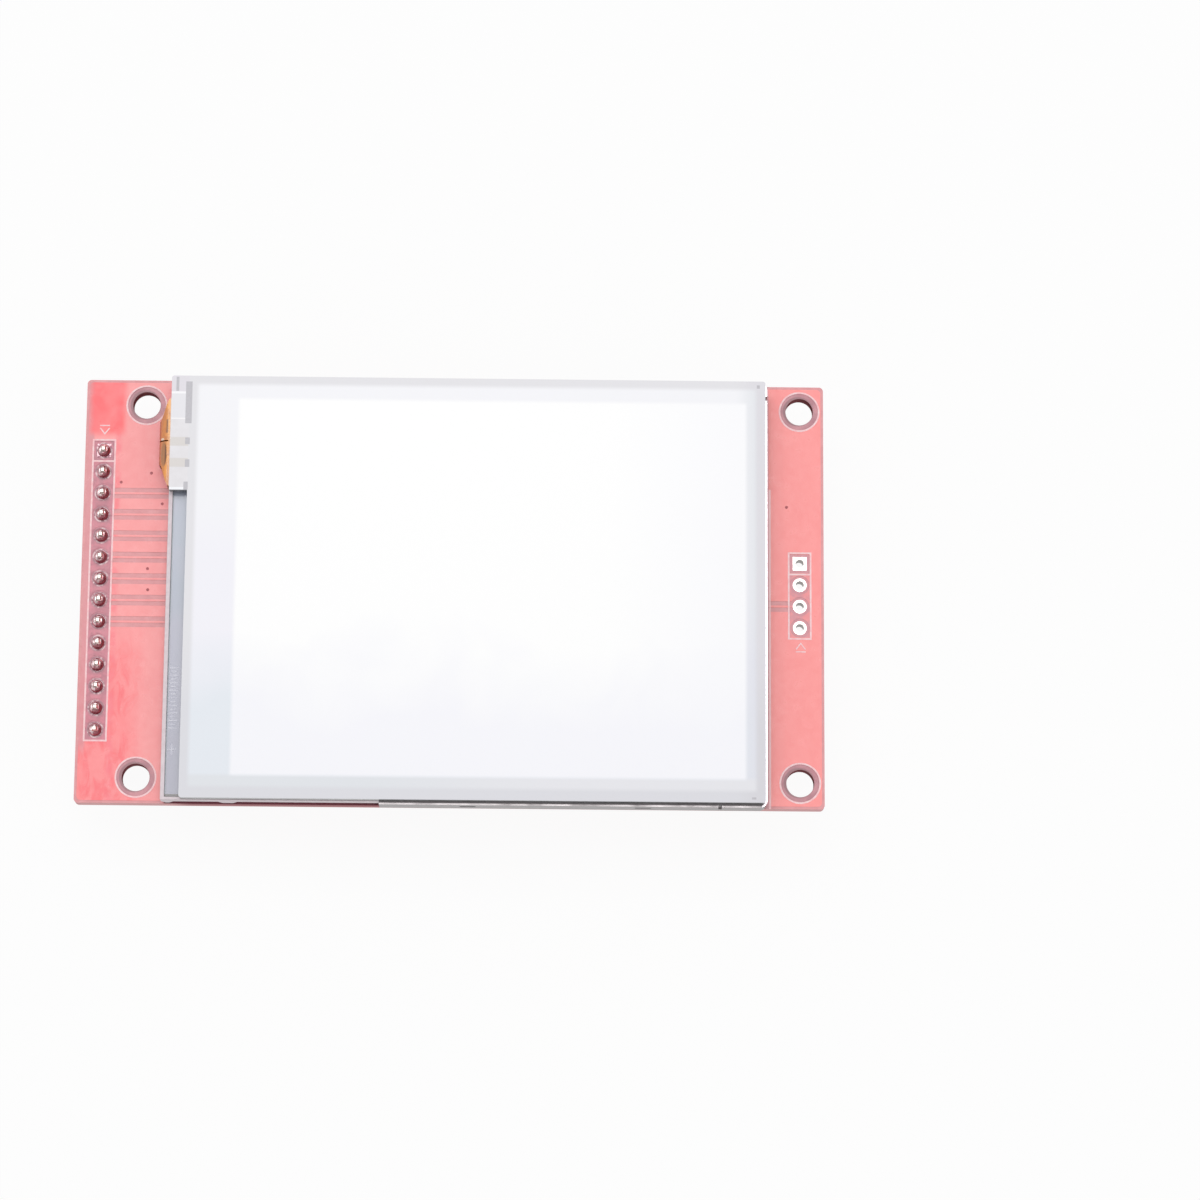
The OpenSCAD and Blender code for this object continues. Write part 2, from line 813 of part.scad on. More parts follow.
module backlight_frame() {
    strip_half = led_strip_size.y / 2 + led_strip_play;
    color("white") union() {
        difference() {
            union() {
                translate([0, 0, z_reflector]) linear_extrude(wall_top - z_reflector) frame_outline();
                lugs(lug_inset);
            }
            // Opening for the light guide, and the pocket above it for the glass
            layer(guide_lo, guide_hi, z_reflector - over, z_shield);
            layer(pocket_lo, pocket_hi, z_shield, z_shield);
            // Arches beside the feet
            block([dl - over, db - over, z_metal - over], [metal_start, arch_y, arch_top]);
            // Way out for the flexible tails
            block([dl - over, tail_mid_y - tail_half - tail_play, z_filter - tail_t],
                  [dl + over, tail_mid_y + tail_half + tail_play, z_top]);
            // Pockets for the lights, and the recess for their strip
            at_leds() translate([-led_size.x, -led_size.y / 2, -over]) cube(led_size + over * [1, 0, 2]);
            layer([guide_lo.x - led_strip_size.x, display_y - strip_half],
                  [guide_lo.x + over, display_y + strip_half], z_reflector + led_size.z, over);
        }
        for (foot = feet)
            translate([0, arch_y, 0]) rotate([90, 0, 0]) linear_extrude(arch_y - open_wall_y)
                foot_side(foot[0], foot[1]);
    }
}

// A shallow sheet tray: a floor, and walls with drawn corners on three sides
module metal_frame() {
    metal_left = dl + 0.6;
    color("silver") difference() {
        translate([0, 0, z_metal]) linear_extrude(metal_top - z_metal)
            round_rect([metal_left, db], [dr, dt], tray_corner);
        // Inside of the tray, which is open on the left
        translate([0, 0, z_reflector]) linear_extrude(metal_top)
            round_rect([dl - over, db + sheet_t], [dr - sheet_t, dt - sheet_t], tray_corner - sheet_t);
        // No wall, and a floor cut back, along the part of the lower side that the plastic frame closes
        block([dl - over, db - over, z_metal - over], [metal_start, arch_y, metal_top + over]);
        // Cut-out of the floor over the flexible tails
        block([dl - over, tail_mid_y - tail_half - tail_room, z_metal - over],
              [metal_left + tail_room, tail_mid_y + tail_half + tail_room, z_reflector + over]);
        // Slots that part the walls, and windows for the plastic frame's lugs
        block([lower_slot_x[0], db - over, z_diffuser], [lower_slot_x[1], db + lug_depth, metal_top + over]);
        block([dr - lug_depth, right_slot_y[0], z_reflector], [dr + over, right_slot_y[1], metal_top + over]);
        lugs(-over);
    }
}

module mounting_tape_upper() {
    color("ivory") layer([upper_tape_left, dt - tape_margin - tape_w], [tape_right, dt - tape_margin],
        front_z, tape_t);
}

module mounting_tape_lower() {
    color("ivory") layer([lower_tape_left, db + tape_margin], [tape_right, db + tape_margin + tape_w],
        front_z, tape_t);
}

// ---- Card socket, drawn with +Z pointing away from the board's back ----

module on_socket_side() {
    mirror([0, 0, 1]) translate([0, 0, relief_t]) children();
}

// The moulded base: a floor, two rails and a rear block slotted for the contacts
module card_socket_base() {
    inner_left = socket_x - cavity_w / 2;
    inner_right = socket_x + cavity_w / 2;
    rail_top = socket_t - shell_t;
    slot_end = cavity_rear + contact_slot;
    slot_half = contact_w / 2 + contact_slot_play;
    color("dimgray") on_socket_side() difference() {
        translate([0, socket_front - base_setback, 0]) rotate([90, 0, 0])
            linear_extrude(socket_d - base_setback - base_short) shell_profile(shell_t);
        // Space for the card
        block([inner_left, cavity_rear, socket_floor_t], [inner_right, socket_front + over, rail_top + over]);
        // Corner of the rear block that matches the card's cut corner
        translate([inner_right, cavity_rear, socket_floor_t]) rotate(45)
            translate([-cut_corner / 2, -cut_corner / 2, 0]) cube([cut_corner, cut_corner, socket_t]);
        // Slots that guide the contacts, through the rear block and into the floor
        for (i = [0 : contact_count - 1]) translate([contact_x + i * contact_pitch, 0, 0]) {
            block([-contact_w / 2, socket_rear - over, -over], [contact_w / 2, slot_end, contact_t]);
            block([-slot_half, cavity_rear - slot_setback, -over], [slot_half, slot_end, slot_top]);
        }
        // Open window in the floor, in front of the contacts
        block([inner_left + floor_window_margin, floor_window_rear, -over],
              [inner_right - floor_window_margin, floor_window_front, over]);
        // Rebate for the detection spring in the right rail
        translate([inner_right, 0, 0])
            block([-over, spring_y[0], spring_z[0]], [spring_rebate, spring_y[1], spring_z[1]]);
    }
}

// Outer side view of the socket, in XZ, with folded upper edges, taken in by inset
module shell_profile(inset) {
    difference() {
        round_rect([socket_left + inset, -shell_bend], [socket_right - inset, socket_t - inset],
                   shell_bend - inset);
        translate([socket_left - 1, -2 * shell_bend]) square([socket_w + 2, 2 * shell_bend]);
    }
}

// Cross-section of the folded shell: a roof and two side walls
module shell_section() {
    difference() {
        shell_profile(0);
        shell_profile(shell_t);
    }
}

// A spring finger left standing in the roof by a U-shaped cut that is open towards the mouth
module finger_cut(w, l) {
    difference() {
        translate([-w / 2 - finger_gap, 0]) square([w + 2 * finger_gap, l]);
        translate([-w / 2, finger_gap]) square([w, l]);
    }
}

module card_socket_shell() {
    color("silver") on_socket_side() difference() {
        union() {
            translate([0, socket_front, 0]) rotate([90, 0, 0]) linear_extrude(shell_depth) shell_section();
            for (y = shell_foot_y) {
                translate([socket_left - shell_foot.x + shell_t, y, 0]) cube(shell_foot);
                translate([socket_right - shell_t, y, 0]) cube(shell_foot);
            }
        }
        // Roof: a wide notch at the mouth, two spring fingers, two sight windows and two tool holes
        translate([0, 0, socket_t - shell_t - over]) linear_extrude(shell_t + 2 * over) {
            translate([socket_x - mouth_notch.x / 2, socket_front - mouth_notch.y])
                square(mouth_notch + [0, over]);
            for (side = [-1, 1]) {
                translate([socket_x + side * finger_x, finger_y]) finger_cut(finger_size.x, finger_size.y);
                translate([socket_x + side * sight_x - sight_size.x / 2, sight_y]) square(sight_size);
                translate([socket_x + side * tool_hole_x, tool_hole_y]) circle(d = tool_hole_d);
            }
        }
        // Side walls: relief openings along each rail
        for (y = relief_y)
            translate([socket_left - over, y, -over])
                cube([socket_w + 2 * over, relief_size.x, relief_size.y + over]);
    }
}

// Side view, in YZ, of one contact: a solder tail, a stretch through the block and a raised spring arm
module contact_side() {
    root = cavity_rear + contact_root;
    knee = cavity_rear + contact_knee;
    tip = cavity_rear + contact_tip;
    end = socket_rear - contact_tail;
    polygon([
        [end, 0], [root, 0], [knee, contact_rise], [tip, contact_dip],
        [tip, contact_dip + contact_t], [knee, contact_rise + contact_t], [root, contact_t], [end, contact_t]
    ]);
}

module card_socket_contacts() {
    color("gold") on_socket_side() {
        for (i = [0 : contact_count - 1])
            translate([contact_x + i * contact_pitch - contact_w / 2, 0, 0])
                rotate([90, 0, 90]) linear_extrude(contact_w) contact_side();
        // Detection spring, lying in its rebate in the right rail
        translate([socket_x + cavity_w / 2 + spring_rebate - spring_t, 0, 0])
            block([0, spring_y[0], spring_z[0]], [spring_t, spring_y[1], spring_z[1]]);
    }
}

// ---- Small parts on the back ----

// Body of a moulded chip, standing a little off the board, with its sides drawn in above and below
module chip_body(size, bevel) {
    x = size.x / 2;
    low = size.z * 0.4;
    high = size.z * 0.7;
    rotate([90, 0, 0]) linear_extrude(size.y, center = true) polygon([
        [-x + bevel / 2, standoff], [x - bevel / 2, standoff], [x, low], [x, high],
        [x - bevel, size.z], [-x + bevel, size.z], [-x, high], [-x, low]
    ]);
}

// A gull-wing lead, w wide, that leaves a body's side at y = 0 and lands on the board further out
module gull_lead(body_h, reach, w) {
    mid = body_h / 2;
    knee = reach * 0.35;
    foot = reach * 0.55;
    bend = lead_t * 0.7;
    rotate([90, 0, 90]) linear_extrude(w, center = true) polygon([
        [0, mid], [knee, mid], [foot, 0], [reach, 0],
        [reach, lead_t], [foot + bend, lead_t], [knee + bend, mid + lead_t], [0, mid + lead_t]
    ]);
}

module touch_controller() {
    color("dimgray") on_back(controller_at) difference() {
        chip_body([controller_size.y, controller_size.x, controller_size.z], controller_bevel);
        translate([controller_dot.x, controller_dot.y, controller_size.z - dot_depth])
            cylinder(d = dot_d, h = over);
    }
}

module touch_controller_leads() {
    first = -(controller_leads - 1) / 2 * controller_pitch;
    color("silver") on_back(controller_at) for (side = [-90, 90], i = [0 : controller_leads - 1])
        rotate(side) translate([first + i * controller_pitch, controller_size.y / 2, 0])
            gull_lead(controller_size.z, fine_lead_reach, fine_lead_w);
}

module small_chip(place) {
    on_back(place) chip_body(small_body, small_bevel);
}

// Three leads, as [x, turn]: two on one long side and one on the other
module small_leads(place) {
    on_back(place) for (lead = [[-small_pitch, 0], [small_pitch, 0], [0, 180]])
        rotate(lead[1]) translate([lead[0], small_body.y / 2, 0])
            gull_lead(small_body.z, small_lead_reach, small_lead_w);
}

module regulator() {
    color("dimgray") small_chip(regulator_at);
}

module regulator_leads() {
    color("silver") small_leads(regulator_at);
}

module backlight_transistor() {
    color("dimgray") small_chip(transistor_at);
}

module transistor_leads() {
    color("silver") small_leads(transistor_at);
}

// The middle of a two-terminal chip
module chip_middle(size) {
    translate([0, 0, size.z / 2])
        cube([size.x - 2 * chip_end, size.y - 2 * chip_inset, size.z - 2 * chip_inset], center = true);
}

// The two plated ends of a two-terminal chip
module chip_ends(size) {
    for (side = [-1, 1])
        translate([side * (size.x - chip_end) / 2, 0, size.z / 2])
            cube([chip_end, size.y, size.z], center = true);
}

module resistors() {
    color("dimgray") for (place = resistor_places) on_back(place) chip_middle(chip_size);
}

module capacitors() {
    color("tan") for (place = capacitor_places) on_back(place) chip_middle(cap_size);
}

module chip_terminals() {
    color("silver") {
        for (place = resistor_places) on_back(place) chip_ends(chip_size);
        for (place = capacitor_places) on_back(place) chip_ends(cap_size);
    }
}

circuit_board();
front_legend();
back_legend();
header_housing();
header_pads();
header_solder();
card_header_pads();
for (i = [1 : pin_count])
    header_pin(i);
touch_film();
touch_spacer();
touch_glass();
touch_tail();
panel_adhesive();
front_polarizer();
color_filter_glass();
tft_glass();
rear_polarizer();
driver_chip();
shield_tape();
prism_film_upper();
prism_film_lower();
diffuser_film();
light_guide();
reflector_film();
led_strip();
backlight_leds();
backlight_frame();
metal_frame();
mounting_tape_upper();
mounting_tape_lower();
lcd_flex();
flex_solder();
card_socket_base();
card_socket_shell();
card_socket_contacts();
touch_controller();
touch_controller_leads();
regulator();
regulator_leads();
backlight_transistor();
transistor_leads();
resistors();
capacitors();
chip_terminals();
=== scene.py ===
import json
import math

import bpy
from mathutils import Matrix, Vector


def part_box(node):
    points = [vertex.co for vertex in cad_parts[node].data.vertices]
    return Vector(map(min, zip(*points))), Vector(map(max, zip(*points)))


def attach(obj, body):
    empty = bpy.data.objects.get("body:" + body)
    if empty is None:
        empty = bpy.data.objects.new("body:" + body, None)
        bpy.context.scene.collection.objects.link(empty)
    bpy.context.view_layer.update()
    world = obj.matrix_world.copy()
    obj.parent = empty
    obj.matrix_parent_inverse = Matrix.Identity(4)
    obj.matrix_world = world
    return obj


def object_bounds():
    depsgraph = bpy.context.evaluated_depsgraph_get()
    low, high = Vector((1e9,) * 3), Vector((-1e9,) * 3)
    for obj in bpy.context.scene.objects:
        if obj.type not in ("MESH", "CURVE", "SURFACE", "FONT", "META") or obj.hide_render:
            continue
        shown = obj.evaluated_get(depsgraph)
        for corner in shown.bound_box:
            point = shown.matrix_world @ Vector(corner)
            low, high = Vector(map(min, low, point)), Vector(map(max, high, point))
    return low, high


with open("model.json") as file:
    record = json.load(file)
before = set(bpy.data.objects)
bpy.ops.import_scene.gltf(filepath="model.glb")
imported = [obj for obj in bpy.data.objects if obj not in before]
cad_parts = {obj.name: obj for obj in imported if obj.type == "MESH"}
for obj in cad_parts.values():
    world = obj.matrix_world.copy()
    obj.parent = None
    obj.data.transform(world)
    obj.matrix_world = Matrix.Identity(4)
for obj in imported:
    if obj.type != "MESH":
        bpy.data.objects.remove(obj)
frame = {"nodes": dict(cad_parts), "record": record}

# Looks of a touch display module: a procedural finish for every CAD node, and the small printed
# and plated details that are too fine for the construction. All lengths below are millimetres.
MM = 0.001

cad_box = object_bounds()


# ---- Places, read from the frame ----


def box_mm(node):
    """Lowest and highest corner of a CAD node, in millimetres."""
    lo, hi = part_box(node)
    return lo / MM, hi / MM


board_lo, board_hi = box_mm("circuit_board")
display_lo, display_hi = box_mm("backlight_frame")
steel_right = box_mm("metal_frame")[1].x
film_lo, film_hi = box_mm("touch_film")
glass_lo, glass_hi = box_mm("tft_glass")
first_pin_lo, first_pin_hi = box_mm("header_pin_01")
card_lo, card_hi = box_mm("card_header_pads")
tail_lo, tail_hi = box_mm("touch_tail")

header_x = (first_pin_lo.x + first_pin_hi.x) / 2
first_pin_y = (first_pin_lo.y + first_pin_hi.y) / 2
card_x = (card_lo.x + card_hi.x) / 2
tail_y = (tail_lo.y + tail_hi.y) / 2
PITCH = 2.54

# Mounting holes and the copper-free rings round them
hole_pattern = next(m["dims"] for m in frame["record"]["mounts"] if m["name"] == "mounting_holes")
HOLE_X, HOLE_Y = hole_pattern["spacing_x_mm"] / 2, hole_pattern["spacing_y_mm"] / 2
HOLE_R = hole_pattern["hole_r_mm"]
RING_R = 2.24

# The copper under the mask stands this much proud of the bare laminate, on both faces of the board
RELIEF = 0.04

# The tab that the touch panel has at its upper left
TAB_W = 2.1
TAB_H = 13.6
touch_left = film_lo.x + TAB_W
tab_bottom = film_hi.y - TAB_H

# Where the steel frame's lower wall starts, left of which the plastic tray shows
STEEL_START = -10.1

# The lit window, as margins inside the touch panel: left, lower, right and upper
window_lo = Vector((touch_left + 5.75, film_lo.y + 2.65))
window_hi = Vector((film_hi.x - 2.25, film_hi.y - 2.7))


# ---- Shader nodes ----


def srgb(r, g, b):
    """A colour as it is seen, 0 to 255 a channel, as the linear values that shaders take."""
    def linear(c):
        c /= 255
        return c / 12.92 if c <= 0.04045 else ((c + 0.055) / 1.055) ** 2.4
    return (linear(r), linear(g), linear(b), 1.0)


class Finish:
    """One material: a Principled shader, and short calls that add the nodes which drive it."""

    # A Mix node has a pair of sockets for each of its data types
    VALUE_A, VALUE_B = 2, 3
    COLOUR_A, COLOUR_B, COLOUR_OUT = 6, 7, 2

    def __init__(self, name, roughness=0.5, **sockets):
        self.material = bpy.data.materials.new(name)
        self.material.use_nodes = True
        self.nodes = self.material.node_tree.nodes
        self.links = self.material.node_tree.links
        self.shader = next(n for n in self.nodes if n.type == "BSDF_PRINCIPLED")
        self.shader.inputs["Roughness"].default_value = roughness
        for socket, value in sockets.items():
            self.shader.inputs[socket.replace("_", " ")].default_value = value
        place = self.add("ShaderNodeTexCoord").outputs["Object"]
        scale = self.add("ShaderNodeVectorMath", place, operation="SCALE")
        scale.inputs["Scale"].default_value = 1 / MM
        self.place = scale.outputs[0]
        self.x, self.y, self.z = self.add("ShaderNodeSeparateXYZ", self.place).outputs
        normal = self.add("ShaderNodeNewGeometry").outputs["Normal"]
        up = self.add("ShaderNodeSeparateXYZ", normal).outputs["Z"]
        self.flat = self.math("ABSOLUTE", up)

    def add(self, kind, *values, **settings):
        """Adds a node, with values or links for its first inputs."""
        node = self.nodes.new(kind)
        for name, value in settings.items():
            setattr(node, name, value)
        for socket, value in zip(node.inputs, values):
            self.feed(socket, value)
        return node

    def feed(self, socket, value):
        """Links an output to a socket, or sets the socket to a plain value."""
        if isinstance(value, bpy.types.NodeSocket):
            self.links.new(value, socket)
        else:
            socket.default_value = value

    def set(self, socket, value):
        """Feeds one of the shader's own sockets."""
        self.feed(self.shader.inputs[socket], value)

    def colour_so_far(self):
        """What feeds the base colour now, to paint over."""
        return self.shader.inputs["Base Color"].links[0].from_socket

    def math(self, operation, *values):
        return self.add("ShaderNodeMath", *values, operation=operation).outputs[0]

    def step(self, value, edge, soft=0.02):
        """0 below an edge and 1 above it, smooth over twice the soft width."""
        ends = (edge - soft, edge + soft)
        return self.add("ShaderNodeMapRange", value, *ends, interpolation_type="SMOOTHSTEP").outputs[0]

    def both(self, a, b):
        """A share of a share, so that a mask counts only inside another, or only in part."""
        return self.math("MULTIPLY", a, b)

    def without(self, a):
        return self.math("SUBTRACT", 1.0, a)

    def band(self, value, lo, hi, soft=0.02):
        """1 between two edges of a value and 0 outside them."""
        return self.math("SUBTRACT", self.step(value, lo, soft), self.step(value, hi, soft))

    def inside(self, lo, hi, soft=0.02):
        """1 inside an upright rectangle in X and Y."""
        return self.both(self.band(self.x, lo[0], hi[0], soft), self.band(self.y, lo[1], hi[1], soft))

    def length(self, a, b):
        """Distance of a point from the origin of its own two coordinates."""
        return self.math("SQRT", self.math("ADD", self.both(a, a), self.both(b, b)))

    def oval(self, x, y, half_w, half_h):
        """0 in the middle of an upright oval, 1 on its edge, and more outside it."""
        across = self.math("DIVIDE", self.math("SUBTRACT", self.x, x), half_w)
        along = self.math("DIVIDE", self.math("SUBTRACT", self.y, y), half_h)
        return self.math("ADD", self.both(across, across), self.both(along, along))

    def mix(self, share, a, b):
        """A colour between two others."""
        node = self.add("ShaderNodeMix", data_type="RGBA")
        self.feed(node.inputs["Factor"], share)
        self.feed(node.inputs[self.COLOUR_A], a)
        self.feed(node.inputs[self.COLOUR_B], b)
        return node.outputs[self.COLOUR_OUT]

    def mix_value(self, share, a, b):
        """A number between two others."""
        node = self.add("ShaderNodeMix", share, data_type="FLOAT")
        self.feed(node.inputs[self.VALUE_A], a)
        self.feed(node.inputs[self.VALUE_B], b)
        return node.outputs[0]

    def noise(self, scale, detail=3.0, rough=0.55, stretch=(1, 1, 1), warp=0.0):
        """Cloudy noise, 0 to 1, with so many features to the millimetre."""
        place = self.place
        if stretch != (1, 1, 1):
            place = self.add("ShaderNodeVectorMath", place, stretch, operation="MULTIPLY").outputs[0]
        node = self.add("ShaderNodeTexNoise", place)
        node.inputs["Scale"].default_value = scale
        node.inputs["Detail"].default_value = detail
        node.inputs["Roughness"].default_value = rough
        node.inputs["Distortion"].default_value = warp
        return node.outputs["Fac"]

    def spread(self, value, lo, hi, to_lo=0.0, to_hi=1.0):
        """Stretches a value's range, kept within its ends."""
        return self.add("ShaderNodeMapRange", value, lo, hi, to_lo, to_hi).outputs[0]

    def bump(self, height, depth, edge=0.0):
        """Bumps of a depth in millimetres, on edges rounded by a radius in millimetres."""
        node = self.add("ShaderNodeBump")
        node.inputs["Distance"].default_value = depth * MM
        self.feed(node.inputs["Height"], height)
        if edge:
            rounded = self.add("ShaderNodeBevel", samples=4)
            rounded.inputs["Radius"].default_value = edge * MM
            self.links.new(rounded.outputs[0], node.inputs["Normal"])
        self.set("Normal", node.outputs[0])


# ---- Finishes ----


def mask_over_copper(f, front):
    """Pink mask, redder where it lies thick at the left, and mauve outside the main header."""
    cloud = f.noise(0.16, 2.0, warp=0.6)
    at_left = f.mix(f.spread(cloud, 0.35, 0.65), srgb(249, 146, 147), srgb(252, 154, 154))
    at_right = f.mix(cloud, srgb(254, 138, 137), srgb(255, 147, 145))
    tint = f.mix(f.step(f.x, 0.0, 24.0), at_left, at_right)
    left = f.both(front, f.without(f.step(f.x, display_lo.x - 3.4, 1.6)))
    lower_left = f.both(left, f.without(f.step(f.y, -6.0, 6.0)))
    thick = f.spread(cloud, 0.2, 0.6, 0.5, 1.0)
    tint = f.mix(f.both(lower_left, thick), tint, srgb(253, 128, 131))
    streaks = f.spread(f.noise(0.5, 3.0, stretch=(1.5, 0.6, 1), warp=0.9), 0.46, 0.62, 0.0, 0.7)
    tint = f.mix(f.both(lower_left, streaks), tint, srgb(250, 88, 98))
    beside_header = f.band(f.x, header_x + 1.35, header_x + 2.0, 0.3)
    patches = f.spread(f.noise(0.8, 2.0), 0.4, 0.62, 0.1, 0.8)
    tint = f.mix(f.both(beside_header, patches), tint, srgb(250, 112, 124))
    outside_header = f.without(f.step(f.x, header_x - 1.2, 0.2))
    outside_header = f.both(outside_header, f.step(f.y, -first_pin_y - 2.2, 1.2))
    tint = f.mix(f.both(outside_header, 0.8), tint, srgb(212, 134, 142))
    corner = f.inside((board_lo.x + 0.5, 18.5), (display_lo.x - 5.6, board_hi.y + 1), 0.5)
    thick = f.spread(f.noise(0.3, 2.0, warp=0.8), 0.3, 0.6, 0.6, 1.0)
    return f.mix(f.both(f.both(front, corner), thick), tint, srgb(255, 84, 90))


def mask_over_laminate(f):
    """Mauve mask where there is no copper, darker round the mounting holes, with painted shade at their
    edges.
    """
    tint = f.mix(f.spread(f.noise(0.9, 3.0), 0.35, 0.7), srgb(214, 136, 140), srgb(226, 148, 152))
    # Wrapped, the four holes share one pair of coordinates that starts at a hole's middle
    hole_x = f.math("SUBTRACT", f.math("WRAP", f.x, 2 * HOLE_X, 0.0), HOLE_X)
    hole_y = f.math("SUBTRACT", f.math("WRAP", f.y, 2 * HOLE_Y, 0.0), HOLE_Y)
    mauve = f.mix(f.spread(f.noise(0.7, 2.0), 0.35, 0.65), srgb(172, 108, 120), srgb(204, 136, 145))
    ring = f.without(f.step(f.length(hole_x, hole_y), RING_R, 0.05))
    tint = f.mix(ring, tint, mauve)
    # Painted shade at each hole's edge, set a little off centre towards one side
    hole_edge_shade = f.length(f.math("ADD", hole_x, 0.14), f.math("SUBTRACT", hole_y, 0.05))
    hole_edge_shade = f.without(f.step(hole_edge_shade, HOLE_R + 0.17, 0.1))
    return f.mix(f.both(hole_edge_shade, 0.9), tint, srgb(142, 92, 100))


def soldering_marks(f, face):
    """Thin, dull mask where the headers are or will be soldered, with a painted ring of highlights and shade
    round each joint.
    """
    heated = f.spread(f.noise(1.1, 3.0, warp=0.8), 0.36, 0.66)
    heated = f.mix(heated, srgb(180, 106, 124), srgb(212, 122, 140))
    joint_row = f.inside((header_x - 1.2, -first_pin_y - 1.2), (header_x + 1.2, first_pin_y + 1.2))
    face = f.mix(f.both(joint_row, 0.9), face, heated)
    joint_y = f.math("WRAP", f.math("SUBTRACT", f.y, first_pin_y), PITCH / 2, -PITCH / 2)
    # A painted ring round each joint: painted highlights and painted shade along the pad's edge
    round_joint = f.band(f.length(f.math("SUBTRACT", f.x, header_x), joint_y), 0.7, 0.96, 0.07)
    ring_light_and_shade = f.mix(f.spread(f.noise(1.5, 3.0, warp=0.8), 0.5, 0.62), srgb(150, 98, 110), srgb(238, 212, 214))
    face = f.mix(f.both(joint_row, f.both(round_joint, 0.85)), face, ring_light_and_shade)
    card_row = f.inside((card_x - 1.2, card_lo.y - 0.3), (card_x + 1.2, card_hi.y + 0.3))
    patches = f.spread(f.noise(0.9, 2.0), 0.4, 0.6, 0.3, 0.8)
    return f.mix(f.both(card_row, patches), face, srgb(206, 134, 148))


def display_surround(f, face, front):
    """The printed line right of the display, a strip beside the display that is partly darker laminate and
    partly painted shade, and painted shade under the display's lower edge.
    """
    line_lo, line_hi = steel_right + 0.3, steel_right + 0.54
    line_top = 12.6
    # Right of the display, a mauve strip: partly the darker bare laminate, partly painted shade
    laminate_and_shade_strip = f.both(front, f.band(f.x, steel_right, line_lo, 0.04))
    face = f.mix(f.both(laminate_and_shade_strip, 0.8), face, srgb(204, 152, 160))
    line = f.both(front, f.band(f.x, line_lo, line_hi, 0.04))
    line = f.both(line, f.without(f.step(f.y, line_top, 0.1)))
    face = f.mix(line, face, srgb(252, 202, 206))
    # Painted shade on the board's face under the display's lower edge
    under_display_shade = f.inside((display_lo.x + 0.2, board_lo.y - 1), (display_hi.x, board_lo.y + 0.8), 0.1)
    return f.mix(f.both(under_display_shade, front), face, srgb(124, 58, 70))


def raw_laminate(f):
    """Cut and drilled walls: fine plies of glass and resin, with painted shade in the holes and where the
    display hangs over them.
    """
    plies = f.math("SINE", f.math("MULTIPLY", f.z, 42.0))
    fibres = f.noise(5.0, 4.0, stretch=(0.5, 0.5, 6))
    wall = f.mix(f.spread(f.math("ADD", plies, fibres), 0.0, 1.4), srgb(226, 172, 174), srgb(246, 204, 204))
    # The walls of the holes are painted darker: painted shade down in the holes, over the laminate's colour
    drilled = f.inside((board_lo.x + 1, board_lo.y + 1), (board_hi.x - 1, board_hi.y - 1))
    wall = f.mix(drilled, wall, f.mix(fibres, srgb(122, 70, 74), srgb(166, 108, 112)))
    # Painted shade on the edge under the display, darkest towards its top
    shaded_under_display = f.band(f.x, display_lo.x + 2.0, display_hi.x - 2.0, 1.6)
    shaded_under_display = f.both(shaded_under_display, f.without(f.step(f.y, 0.0)))
    upwards = f.spread(f.z, 0.0, board_hi.z, 0.25, 0.75)
    return f.mix(f.both(shaded_under_display, upwards), wall, srgb(138, 66, 80))


def red_mask():
    """The board: gloss red solder mask over copper and laminate, and raw laminate on its walls."""
    f = Finish("red_mask", Coat_Roughness=0.12)
    front = f.step(f.z, board_hi.z / 2)
    raised = f.math("ADD", f.step(f.z, board_hi.z - RELIEF / 2, 0.01),
                    f.without(f.step(f.z, board_lo.z + RELIEF / 2, 0.01)))
    face = f.mix(raised, mask_over_laminate(f), mask_over_copper(f, front))
    face = soldering_marks(f, face)
    face = display_surround(f, face, front)
    masked = f.step(f.flat, 0.5, 0.1)
    f.set("Base Color", f.mix(masked, raw_laminate(f), face))
    f.set("Roughness", f.mix_value(masked, 0.9, f.spread(f.noise(1.4, 4.0), 0.3, 0.7, 0.26, 0.4)))
    f.set("Specular IOR Level", f.both(masked, 0.5))
    f.set("Coat Weight", f.both(masked, 0.25))
    f.bump(f.noise(3.5, 4.0, 0.6), 0.01)
    return f


def white_ink():
    """Thin legend ink, through which some of the red shows."""
    f = Finish("white_ink", 0.55)
    thick = f.spread(f.noise(2.2, 4.0), 0.3, 0.62)
    f.set("Base Color", f.mix(thick, srgb(255, 194, 199), srgb(255, 224, 226)))
    f.bump(f.noise(9.0, 3.0), 0.01)
    return f


def metal(name, dark, light, roughness, grain=(1, 1, 1), scale=3.0, edge=0.0, depth=0.006):
    """Bare metal: a tone that drifts, a grain that can run one way, and uneven gloss."""
    f = Finish(name, Metallic=1.0)
    f.set("Base Color", f.mix(f.spread(f.noise(scale * 0.4, 4.0), 0.3, 0.7), dark, light))
    streak = f.noise(scale, 5.0, 0.65, stretch=grain)
    f.set("Roughness", f.spread(streak, 0.25, 0.75, roughness * 0.88, roughness * 1.16))
    f.bump(streak, depth, edge)
    return f


def sheet_steel():
    """Thin steel sheet: bright on the card socket, dull on the display's walls, and a painted highlight on
    the right wall's top edge.
    """
    f = metal("sheet_steel", srgb(128, 123, 124), srgb(138, 133, 134), 0.3, (0.25, 0.25, 3), depth=0.0025)
    socket = f.mix(f.spread(f.noise(0.5, 3.0), 0.3, 0.7), srgb(176, 174, 176), srgb(190, 188, 190))
    wall = f.mix(f.step(f.z, 0.0), socket, f.colour_so_far())
    at_right = f.step(f.x, display_hi.x - 0.4, 0.1)
    lower_cut = f.mix(f.spread(f.noise(0.4, 2.0), 0.35, 0.65), srgb(130, 125, 126), srgb(178, 172, 173))
    # The right wall's top edge is painted near white: a painted highlight
    cut_edges_and_glint = f.mix(at_right, lower_cut, srgb(244, 236, 241))
    in_front = f.step(f.z, board_hi.z + 1.5)
    f.set("Base Color", f.mix(f.both(in_front, f.step(f.flat, 0.7, 0.1)), wall, cut_edges_and_glint))
    return f


